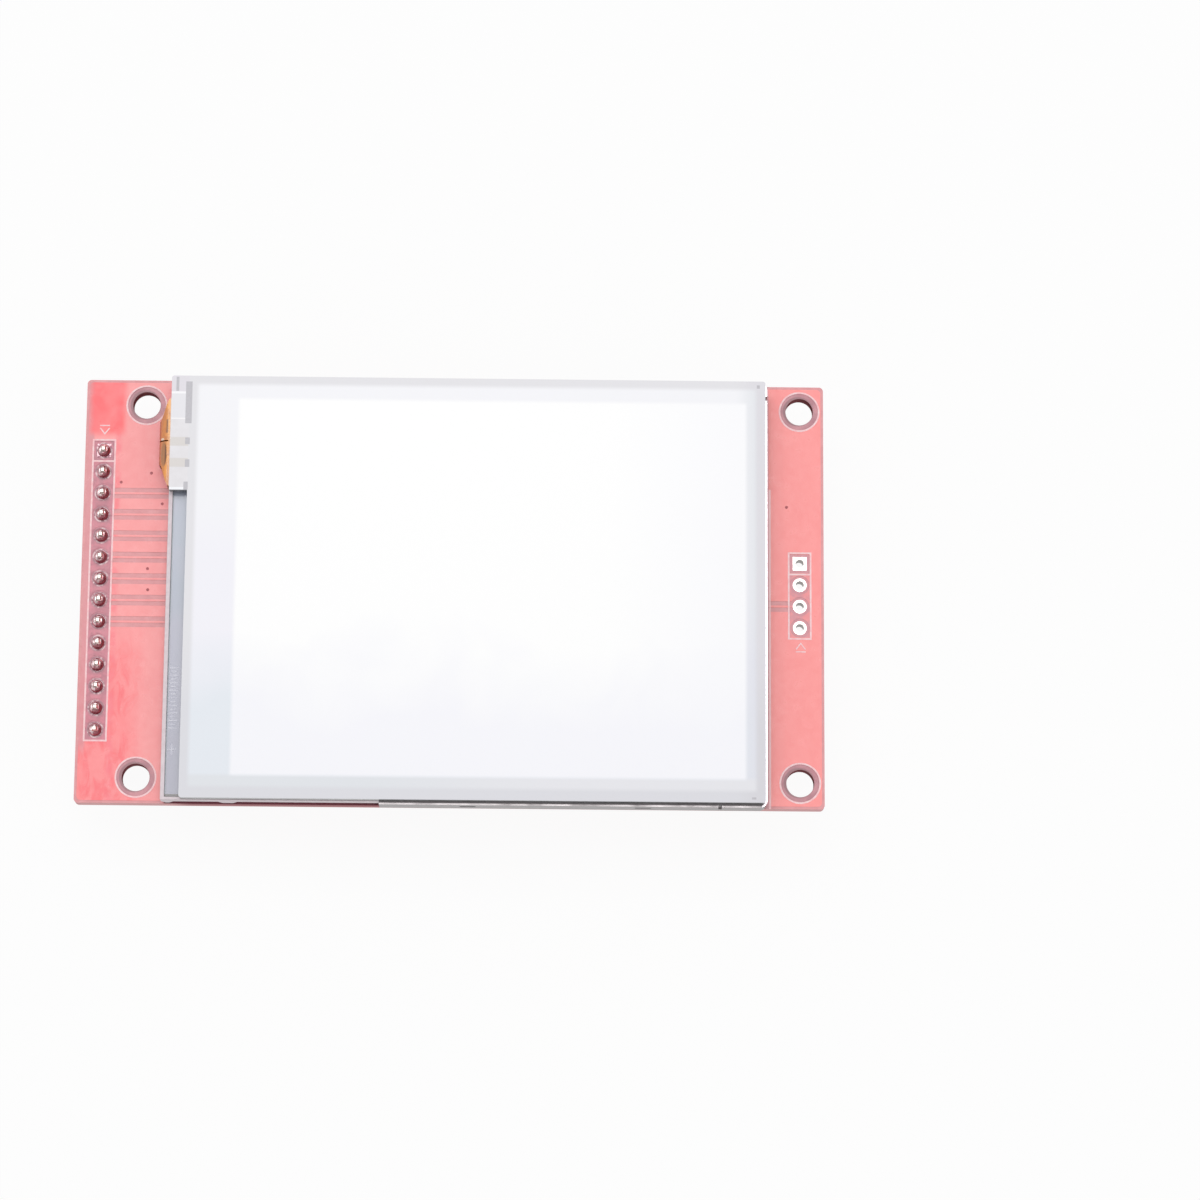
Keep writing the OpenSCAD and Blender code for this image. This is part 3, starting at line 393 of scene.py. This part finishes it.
def white_plastic():
    """White moulding of the backlight's tray: in shade where the steel and the glass close over it."""
    f = plastic("white_plastic", srgb(214, 200, 206), srgb(228, 215, 220), 0.4)
    closed = f.both(f.step(f.x, STEEL_START, 0.05), f.without(f.step(f.y, display_lo.y + 1.2, 0.1)))
    f.set("Base Color", f.mix(closed, f.colour_so_far(), srgb(136, 131, 133)))
    return f


def plated():
    """Tinned copper: bright on the pads, stained by flux in the soldered row, and painted dark grey in the
    holes as painted shade.
    """
    f = Finish("plated_pads", Metallic=1.0)
    pad = f.mix(f.spread(f.noise(2.0, 4.0), 0.3, 0.7), srgb(220, 206, 203), srgb(240, 228, 226))
    stained = f.mix(f.spread(f.noise(2.6, 3.0, warp=0.5), 0.42, 0.6), srgb(112, 78, 88), srgb(186, 158, 163))
    pad = f.mix(f.step(f.x, 0.0), stained, pad)
    # The holes' walls are painted dark grey: painted shade down in the barrels
    shaded_barrel = f.mix(f.spread(f.noise(4.0, 3.0), 0.3, 0.7), srgb(96, 92, 88), srgb(140, 135, 130))
    f.set("Base Color", f.mix(f.step(f.flat, 0.5, 0.1), shaded_barrel, pad))
    f.set("Roughness", f.spread(f.noise(5.0, 4.0), 0.25, 0.75, 0.22, 0.4))
    f.bump(f.noise(3.0, 4.0), 0.006)
    return f


def solder():
    """Bright solder, with painted shade on one side of each joint, and darker round its foot."""
    f = Finish("solder", Metallic=1.0)
    wet = f.noise(1.7, 4.0, warp=0.8)
    from_pin_x = f.math("SUBTRACT", f.x, header_x)
    from_pin_y = f.math("WRAP", f.math("SUBTRACT", f.y, first_pin_y), PITCH / 2, -PITCH / 2)
    # Painted shade towards the lower right of each joint, and darker round its foot
    toward_shaded_side = f.math("ADD", f.math("SUBTRACT", from_pin_x, from_pin_y), f.spread(wet, 0.3, 0.7, -0.45, 0.45))
    low = f.without(f.step(f.z, board_hi.z + 0.2, 0.14))
    dark_side_and_foot = f.math("MAXIMUM", f.both(low, 0.55), f.step(toward_shaded_side, 0.22, 0.3))
    dull = f.spread(f.noise(3.0, 3.0, warp=0.6), 0.46, 0.6, 0.0, 0.6)
    bright = f.mix(dull, srgb(240, 218, 220), srgb(128, 102, 108))
    f.set("Base Color", f.mix(dark_side_and_foot, bright, srgb(158, 98, 106)))
    f.set("Roughness", f.spread(wet, 0.3, 0.7, 0.12, 0.3))
    f.bump(f.noise(2.6, 2.0, warp=0.5), 0.06)
    return f


def plastic(name, dark, light, roughness, scale=4.0, edge=0.05, depth=0.01, **sockets):
    """Moulded plastic or epoxy with a fine grain."""
    f = Finish(name, **sockets)
    f.set("Base Color", f.mix(f.spread(f.noise(scale * 0.5, 4.0), 0.3, 0.7), dark, light))
    grain = f.noise(scale * 4, 3.0)
    f.set("Roughness", f.spread(grain, 0.3, 0.7, roughness * 0.8, roughness * 1.2))
    f.bump(grain, depth, edge)
    return f


def silver_marks(f):
    """Silver conductors under the film: bars along the tab, and small marks in the corners."""
    # Lower left corner, width and height of each
    marks = [
        (touch_left - 1.57, 22.75, 0.33, 1.7), (touch_left - 0.44, 18.9, 0.74, 5.0),
        (touch_left - 0.38, 16.4, 0.54, 0.8), (touch_left - 0.34, 13.7, 0.52, 0.9),
        (touch_left - 0.44, tab_bottom, 0.5, 0.95),
        (film_hi.x - 1.0, film_hi.y - 0.85, 0.35, 0.4), (film_hi.x - 1.6, film_lo.y + 0.35, 0.5, 0.25),
    ]
    covered = 0.0
    for x, y, w, h in marks:
        covered = f.math("ADD", covered, f.inside((x, y), (x + w, y + h), 0.03))
    return covered


def screen_tint(f):
    """The lit window in its border and rim, dimmer below a soft step in height and towards the right."""
    cloud = f.spread(f.noise(0.1, 2.0, warp=0.4), 0.35, 0.65, -2.5, 2.5)
    height = f.math("ADD", f.y, cloud)
    low = f.spread(height, -5.0, -16.0)
    right = f.step(f.x, window_hi.x, 1.5)
    left_rim = f.mix(low, srgb(227, 226, 230), srgb(219, 219, 225))
    right_rim = f.mix(low, srgb(222, 220, 226), srgb(215, 214, 220))
    rim = f.mix(right, left_rim, right_rim)
    left_border = f.mix(low, srgb(243, 242, 249), srgb(229, 234, 241))
    left_border = f.mix(f.step(f.y, 6.0, 5.0), left_border, srgb(245, 245, 249))
    right_border = f.mix(f.spread(height, 2.0, -8.0), srgb(229, 231, 236), srgb(225, 226, 235))
    border = f.mix(right, left_border, right_border)
    lower_border = f.mix(f.spread(f.x, -12.0, 8.0), srgb(224, 227, 232), srgb(230, 230, 235))
    border = f.mix(f.without(f.step(f.y, window_lo.y, 0.3)), border, lower_border)
    border_lo = (touch_left + 1.0, film_lo.y + 1.3)
    border_hi = (film_hi.x - 1.1, film_hi.y - 1.0)
    screen = f.mix(f.inside(border_lo, border_hi, 0.35), rim, border)
    lit = f.mix(low, srgb(255, 255, 255), srgb(247, 247, 252))
    lit = f.mix(f.spread(f.x, 16.0, 30.0, 0.0, 0.5), lit, srgb(248, 248, 253))
    return f.mix(f.inside(window_lo, window_hi, 0.3), screen, lit)


def tab_tint(f):
    """Blocks of adhesive seen through the tab: two warm ones, a pale one above them, and bright seams."""
    upper_block, end_block = 19.5, film_hi.y - 2.0
    warm = f.math("ADD", f.band(f.y, 16.2, 17.25, 0.08), f.band(f.y, 13.7, 14.75, 0.08))
    plain = f.mix(f.noise(0.8, 2.0), srgb(222, 219, 222), srgb(236, 234, 238))
    tab = f.mix(warm, plain, srgb(219, 214, 211))
    tab = f.mix(f.step(f.y, upper_block, 0.1), tab, srgb(232, 231, 236))
    tab = f.mix(f.band(f.y, upper_block - 0.1, upper_block + 0.05, 0.04), tab, srgb(248, 246, 248))
    tab = f.mix(f.step(f.y, end_block, 0.03), tab, srgb(226, 222, 229))
    tab = f.mix(f.band(f.y, end_block - 0.15, end_block + 0.1, 0.03), tab, srgb(250, 249, 252))
    return f.mix(f.without(f.step(f.y, tab_bottom + 0.3, 0.05)), tab, srgb(248, 250, 254))


def touch_film():
    """Matte film, painted with what is seen through it."""
    f = Finish("touch_film")
    face = f.mix(f.step(f.x, touch_left, 0.06), tab_tint(f), screen_tint(f))
    silver = f.mix(f.noise(4.0, 3.0), srgb(180, 178, 184), srgb(200, 198, 204))
    face = f.mix(silver_marks(f), face, silver)
    f.set("Base Color", f.mix(f.step(f.flat, 0.5, 0.1), srgb(176, 178, 182), face))
    f.set("Roughness", f.spread(f.noise(12.0, 3.0), 0.3, 0.7, 0.3, 0.42))
    f.bump(f.noise(14.0, 2.0), 0.003)
    return f


def panel_glass():
    """The cell's glass. On the ledge, fine conductors fan out under it and tint it blue and lavender."""
    f = Finish("panel_glass", 0.16, Coat_Weight=0.5)
    drift = f.spread(f.noise(0.14, 2.0), 0.35, 0.65)
    tint = f.mix(drift, srgb(172, 184, 200), srgb(186, 188, 206))
    fan = f.math("SINE", f.math("MULTIPLY", f.math("ADD", f.y, f.math("MULTIPLY", f.x, 0.6)), 26.0))
    tint = f.mix(f.spread(fan, -1.0, 1.0, 0.0, 0.35), tint, srgb(192, 196, 208))
    tint = f.mix(f.spread(f.y, 6.0, -18.0, 0.0, 0.7), tint, srgb(164, 160, 178))
    rim_w = 0.12
    clear_lo, clear_hi = (glass_lo.x + rim_w, glass_lo.y + rim_w), (glass_hi.x - rim_w, glass_hi.y - rim_w)
    tint = f.mix(f.without(f.inside(clear_lo, clear_hi, 0.06)), tint, srgb(150, 160, 168))
    # A dark strip along the glass's lower edge: the glass's own edge, and painted shade of the gap below it
    f.set("Base Color", f.mix(f.step(f.y, glass_lo.y + 0.28, 0.05), srgb(112, 108, 108), tint))
    f.bump(f.noise(6.0, 2.0), 0.002)
    return f


def amber_flex():
    """Polyimide film over copper: amber where it is free and pale where it is bonded, with painted light and
    shade over its fold, lighter near the panel and darker at its outer edge, in its creases and low down.
    """
    f = Finish("amber_flex", Coat_Weight=0.5, Coat_Roughness=0.1)
    fold_x, root_x = tail_lo.x, display_lo.x
    # Painted light and shade across the fold's curve: lighter near the panel, darker towards the fold's edge,
    # with painted streaks of shade along it
    film = f.mix(f.spread(f.x, fold_x + 0.2, root_x - 0.1), srgb(216, 124, 64), srgb(250, 176, 90))
    streaks = f.noise(0.9, 3.0, stretch=(2.6, 0.5, 1), warp=0.8)
    film = f.mix(f.spread(streaks, 0.44, 0.6, 0.0, 0.8), film, srgb(204, 128, 84))
    fold_edge_shade = f.without(f.step(f.x, fold_x + 0.16, 0.12))
    film = f.mix(f.both(fold_edge_shade, 0.6), film, srgb(176, 104, 76))
    # Painted shade in a leaf-shaped crease in the lower ribbon, deepest along its right side, and in a short
    # one in the upper
    crease = f.without(f.step(f.oval(fold_x + 0.62, tail_y - 1.45, 0.34, 1.5), 0.9, 0.3))
    crease_shade = f.mix(f.step(f.x, fold_x + 0.739, 0.102), srgb(176, 122, 82), srgb(92, 56, 44))
    film = f.mix(f.both(crease, 0.9), film, crease_shade)
    upper_crease_shade = f.inside((root_x - 0.42, tail_y + 1.1), (root_x - 0.2, tail_y + 2.7), 0.1)
    film = f.mix(f.both(upper_crease_shade, 0.8), film, srgb(112, 72, 58))
    glint = f.without(f.step(f.oval(fold_x + 0.42, tail_y + 0.35, 0.22, 0.16), 0.8, 0.3))
    film = f.mix(f.both(glint, 0.8), film, srgb(248, 226, 206))
    # Painted shade on the fold where it hangs low, near the board
    low = f.without(f.step(f.z, board_hi.z + 2.0, 0.9))
    film = f.mix(f.both(low, 0.7), film, srgb(128, 74, 56))
    bonded = f.both(f.step(f.x, root_x + 0.05, 0.05), f.step(f.z, film_lo.z - 0.4, 0.1))
    f.set("Base Color", f.mix(bonded, film, srgb(228, 226, 230)))
    f.set("Roughness", f.spread(f.noise(2.0, 3.0), 0.3, 0.7, 0.2, 0.34))
    f.bump(f.noise(2.4, 3.0), 0.02)
    return f


def make_finishes():
    """One finish for each of the record's material slots."""
    return {
        "red_mask": red_mask(),
        "white_ink": white_ink(),
        "black_plastic": plastic("black_plastic", srgb(30, 30, 32), srgb(44, 44, 47), 0.45),
        "header_metal": metal("header_metal", srgb(190, 186, 180), srgb(208, 204, 198), 0.22, (1, 1, 0.15),
                              depth=0.003),
        "plated_pads": plated(),
        "solder": solder(),
        "touch_film": touch_film(),
        "touch_glass": plastic("touch_glass", srgb(84, 85, 86), srgb(122, 123, 124), 0.12, 1.0, edge=0),
        "grey_rim": plastic("grey_rim", srgb(226, 227, 232), srgb(234, 234, 238), 0.6, edge=0),
        "clear_adhesive": plastic("clear_adhesive", srgb(196, 198, 202), srgb(214, 216, 220), 0.4, edge=0),
        "polarizer": plastic("polarizer", srgb(206, 208, 216), srgb(222, 223, 230), 0.3, edge=0),
        "panel_glass": panel_glass(),
        "silicon": plastic("silicon", srgb(52, 54, 66), srgb(70, 70, 82), 0.2, edge=0),
        "shield_tape": plastic("shield_tape", srgb(28, 28, 30), srgb(40, 40, 42), 0.5, edge=0),
        "optical_film": plastic("optical_film", srgb(232, 234, 240), srgb(244, 245, 250), 0.3, edge=0),
        "light_guide": plastic("light_guide", srgb(226, 234, 230), srgb(238, 244, 240), 0.12, edge=0),
        "white_plastic": white_plastic(),
        "amber_flex": amber_flex(),
        "sheet_steel": sheet_steel(),
        "foam_tape": plastic("foam_tape", srgb(212, 206, 196), srgb(232, 228, 220), 0.9, depth=0.05),
        "contact_gold": metal("contact_gold", srgb(214, 164, 82), srgb(238, 196, 118), 0.24, (0.3, 1, 1)),
        "chip_black": plastic("chip_black", srgb(34, 34, 36), srgb(52, 52, 54), 0.55, depth=0.02),
        "resistor_black": plastic("resistor_black", srgb(26, 26, 30), srgb(40, 40, 46), 0.35),
        "capacitor_tan": plastic("capacitor_tan", srgb(160, 128, 92), srgb(186, 152, 112), 0.5),
        "chip_tin": metal("chip_tin", srgb(198, 196, 192), srgb(226, 224, 220), 0.32),
    }


def dress_nodes(finishes):
    """Gives every CAD node its finish, by the slot that it was packed with."""
    for node in frame["nodes"].values():
        slots = node.data.materials
        for i, packed in enumerate(slots):
            slots[i] = finishes[packed.name.split(".")[0]].material


# ---- Small details made here ----


def add_piece(name, verts, faces, finish):
    """Makes a mesh piece, with its points in millimetres, that rides on the module."""
    mesh = bpy.data.meshes.new(name)
    mesh.from_pydata([tuple(c * MM for c in v) for v in verts], [], faces)
    mesh.validate()
    mesh.update()
    piece = bpy.data.objects.new(name, mesh)
    bpy.context.scene.collection.objects.link(piece)
    mesh.materials.append(finish.material)
    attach(piece, "root")


class Shape:
    """Collects closed solids into one mesh."""

    def __init__(self):
        self.verts = []
        self.faces = []

    def prism(self, outline, z0, z1):
        """An upright prism on a flat outline, given anticlockwise."""
        start, n = len(self.verts), len(outline)
        self.verts += [(x, y, z0) for x, y in outline] + [(x, y, z1) for x, y in outline]
        self.faces.append([start + i for i in reversed(range(n))])
        self.faces.append([start + n + i for i in range(n)])
        for i in range(n):
            j = (i + 1) % n
            self.faces.append([start + i, start + j, start + n + j, start + n + i])

    def lathe(self, x, y, profile, steps=20):
        """A solid turned round an upright axis; its (radius, height) points start and end at radius 0."""
        start = len(self.verts)
        rings = profile[1:-1]
        self.verts.append((x, y, profile[0][1]))
        for r, z in rings:
            for k in range(steps):
                a = 2 * math.pi * k / steps
                self.verts.append((x + r * math.cos(a), y + r * math.sin(a), z))
        self.verts.append((x, y, profile[-1][1]))
        end = len(self.verts) - 1
        for k in range(steps):
            n = (k + 1) % steps
            self.faces.append([start, start + 1 + k, start + 1 + n])
            for i in range(len(rings) - 1):
                a = start + 1 + i * steps
                self.faces.append([a + k, a + steps + k, a + steps + n, a + n])
            last = start + 1 + (len(rings) - 1) * steps
            self.faces.append([end, last + n, last + k])


INK_T = 0.03
LINE_W = 0.14
# Each printed line lies a hair higher than the one that it crosses
LINE_LIFT = 0.001


def add_lines(shape, lines, z0, z1):
    """Prints straight lines with square ends, from pairs of points."""
    for i, (start, end) in enumerate(lines):
        a, b = Vector(start), Vector(end)
        along = (b - a).normalized() * LINE_W / 2
        across = Vector((-along.y, along.x))
        corners = [a - along - across, b + along - across, b + along + across, a - along + across]
        shape.prism([(p.x, p.y) for p in corners], z0, z1 + i * LINE_LIFT)


def header_marks(finishes):
    """An arrowhead and a bar that point at each header, printed in place of its name."""
    shape = Shape()
    for x, y, way in ((header_x, first_pin_y + 2.5, -1), (card_x + 0.1, card_lo.y - 1.5, 1)):
        tip, foot = y + way * 0.5, y - way * 0.15
        bar = y - way * 0.5
        lines = [((x - 0.5, foot), (x, tip)), ((x + 0.5, foot), (x, tip)), ((x - 0.5, bar), (x + 0.5, bar))]
        add_lines(shape, lines, board_hi.z, board_hi.z + INK_T)
    add_piece("header_marks", shape.verts, shape.faces, finishes["white_ink"])


# Thickness of the metal that is printed on the glass
METAL_T = 0.006


def ledge_marks():
    """An alignment scale and a cross, in pale metal on the glass ledge in place of the panel's number."""
    finish = plastic("ledge_silver", srgb(212, 212, 226), srgb(228, 228, 238), 0.4, edge=0, depth=0.002)
    shape = Shape()
    x = glass_lo.x + 0.7
    scale_top, tick_step, tick_count = -9.6, -0.44, 17
    long_half, short_half = 0.42, 0.24
    lines = []
    for i in range(tick_count):
        half = long_half if i % 2 == 0 else short_half
        tick_y = scale_top + i * tick_step
        lines.append(((x - half, tick_y), (x + half, tick_y)))
    cross_y, arm_x, arm_y = -19.1, 0.45, 0.6
    lines.append(((x - arm_x, cross_y), (x + arm_x, cross_y)))
    lines.append(((x, cross_y - arm_y), (x, cross_y + arm_y)))
    add_lines(shape, lines, glass_hi.z, glass_hi.z + METAL_T)
    add_piece("ledge_marks", shape.verts, shape.faces, finish)


VIA_R = 0.17
VIA_PLACES = [(-37.33, 13.85), (-40.82, 12.74), (-35.98, 10.19), (-37.46, 2.47), (-37.36, -0.02),
              (36.59, 10.53)]


def via_mask():
    """Mask over a plated hole: darker in the dimple."""
    f = Finish("via_mask", 0.3)
    f.set("Base Color", f.mix(f.spread(f.noise(3.0, 2.0), 0.3, 0.7), srgb(154, 66, 74), srgb(182, 88, 96)))
    return f


def vias():
    """Small dimpled rings of mask where copper passes through the board."""
    finish = via_mask()
    shape = Shape()
    for x, y in VIA_PLACES:
        for z, up in ((board_hi.z, 1), (board_lo.z, -1)):
            shape.lathe(x, y, [(0, z - up * 0.01), (VIA_R, z - up * 0.01), (VIA_R, z + up * 0.008),
                               (VIA_R * 0.75, z + up * 0.02), (VIA_R * 0.45, z + up * 0.012), (0, z)][::up])
    add_piece("vias", shape.verts, shape.faces, finish)


# ---- Stage ----


def seen_directly(nodes, links):
    """1 for rays from the camera and for those that a mirror or glass sends on, and 0 for others."""
    path = nodes.new("ShaderNodeLightPath")
    seen = path.outputs["Is Camera Ray"]
    for ray in ("Is Glossy Ray", "Is Transmission Ray"):
        either = nodes.new("ShaderNodeMath")
        either.operation = "MAXIMUM"
        links.new(seen, either.inputs[0])
        links.new(path.outputs[ray], either.inputs[1])
        seen = either.outputs[0]
    return seen


# How much of the floor's own shade is hidden by an even white glow where it is seen directly
FLOOR_GLOW = 0.93


def stage_material(name, colour):
    """A pale surface that a camera, a mirror or glass sees almost white, and that still takes a shadow."""
    material = bpy.data.materials.new(name)
    material.use_nodes = True
    nodes, links = material.node_tree.nodes, material.node_tree.links
    nodes.clear()
    diffuse = nodes.new("ShaderNodeBsdfDiffuse")
    diffuse.inputs["Color"].default_value = colour
    glow = nodes.new("ShaderNodeEmission")
    share = nodes.new("ShaderNodeMath")
    share.operation = "MULTIPLY"
    share.inputs[1].default_value = FLOOR_GLOW
    links.new(seen_directly(nodes, links), share.inputs[0])
    mix = nodes.new("ShaderNodeMixShader")
    links.new(share.outputs[0], mix.inputs[0])
    links.new(diffuse.outputs[0], mix.inputs[1])
    links.new(glow.outputs[0], mix.inputs[2])
    out = nodes.new("ShaderNodeOutputMaterial")
    links.new(mix.outputs[0], out.inputs[0])
    return material


FLOOR_R = 3000


def add_floor():
    """A wide floor at the level of the pins' tips, which the module stands on."""
    z = cad_box[0].z
    r = FLOOR_R * MM
    mesh = bpy.data.meshes.new("floor")
    mesh.from_pydata([(-r, -r, z), (r, -r, z), (r, r, z), (-r, r, z)], [], [(0, 1, 2, 3)])
    mesh.materials.append(stage_material("floor_white", srgb(235, 235, 235)))
    floor = bpy.data.objects.new("floor", mesh)
    bpy.context.scene.collection.objects.link(floor)


WORLD_LIGHT = 0.7


def add_world():
    """White to the camera, to mirrors and through glass, and a soft even light on everything."""
    world = bpy.data.worlds.new("studio")
    bpy.context.scene.world = world
    world.use_nodes = True
    nodes, links = world.node_tree.nodes, world.node_tree.links
    nodes.clear()
    soft, white = nodes.new("ShaderNodeBackground"), nodes.new("ShaderNodeBackground")
    soft.inputs["Strength"].default_value = WORLD_LIGHT
    mix = nodes.new("ShaderNodeMixShader")
    links.new(seen_directly(nodes, links), mix.inputs[0])
    links.new(soft.outputs[0], mix.inputs[1])
    links.new(white.outputs[0], mix.inputs[2])
    out = nodes.new("ShaderNodeOutputWorld")
    links.new(mix.outputs[0], out.inputs[0])


def add_lamp(name, at, size, power):
    """A square soft box that faces the module's middle."""
    lamp = bpy.data.lights.new(name, "AREA")
    lamp.size = size * MM
    lamp.energy = power
    holder = bpy.data.objects.new(name, lamp)
    holder.location = Vector(at) * MM
    holder.rotation_mode = "QUATERNION"
    holder.rotation_quaternion = (-Vector(at)).to_track_quat("-Z", "Y")
    bpy.context.scene.collection.objects.link(holder)


def add_lamps():
    add_lamp("key", (-40, 200, 700), 420, 1.68)
    add_lamp("spark", (-300, 340, 560), 50, 0.22)
    add_lamp("fill", (420, -260, 480), 400, 0.4)


# Where the camera stands and looks, and which way is up in its picture
CAMERA_AT = (8.72, -99.87, 467.35)
CAMERA_AIM = (14.98, -0.36, 0.0)
CAMERA_UP = (-0.0099, 0.9781, 0.2081)
LENS = 123.39
SENSOR = 36


def add_camera():
    data = bpy.data.cameras.new("camera")
    data.lens = LENS
    data.sensor_width = SENSOR
    data.clip_start = 0.01
    data.clip_end = 10
    camera = bpy.data.objects.new("camera", data)
    back = (Vector(CAMERA_AT) - Vector(CAMERA_AIM)).normalized()
    right = Vector(CAMERA_UP).cross(back).normalized()
    up = back.cross(right)
    turn = Matrix((right, up, back)).transposed().to_4x4()
    camera.matrix_world = Matrix.Translation(Vector(CAMERA_AT) * MM) @ turn
    bpy.context.scene.collection.objects.link(camera)
    bpy.context.scene.camera = camera


def main():
    finishes = make_finishes()
    dress_nodes(finishes)
    header_marks(finishes)
    ledge_marks()
    vias()
    add_floor()
    add_world()
    add_lamps()
    add_camera()
    bpy.context.scene.view_settings.view_transform = "Standard"


main()
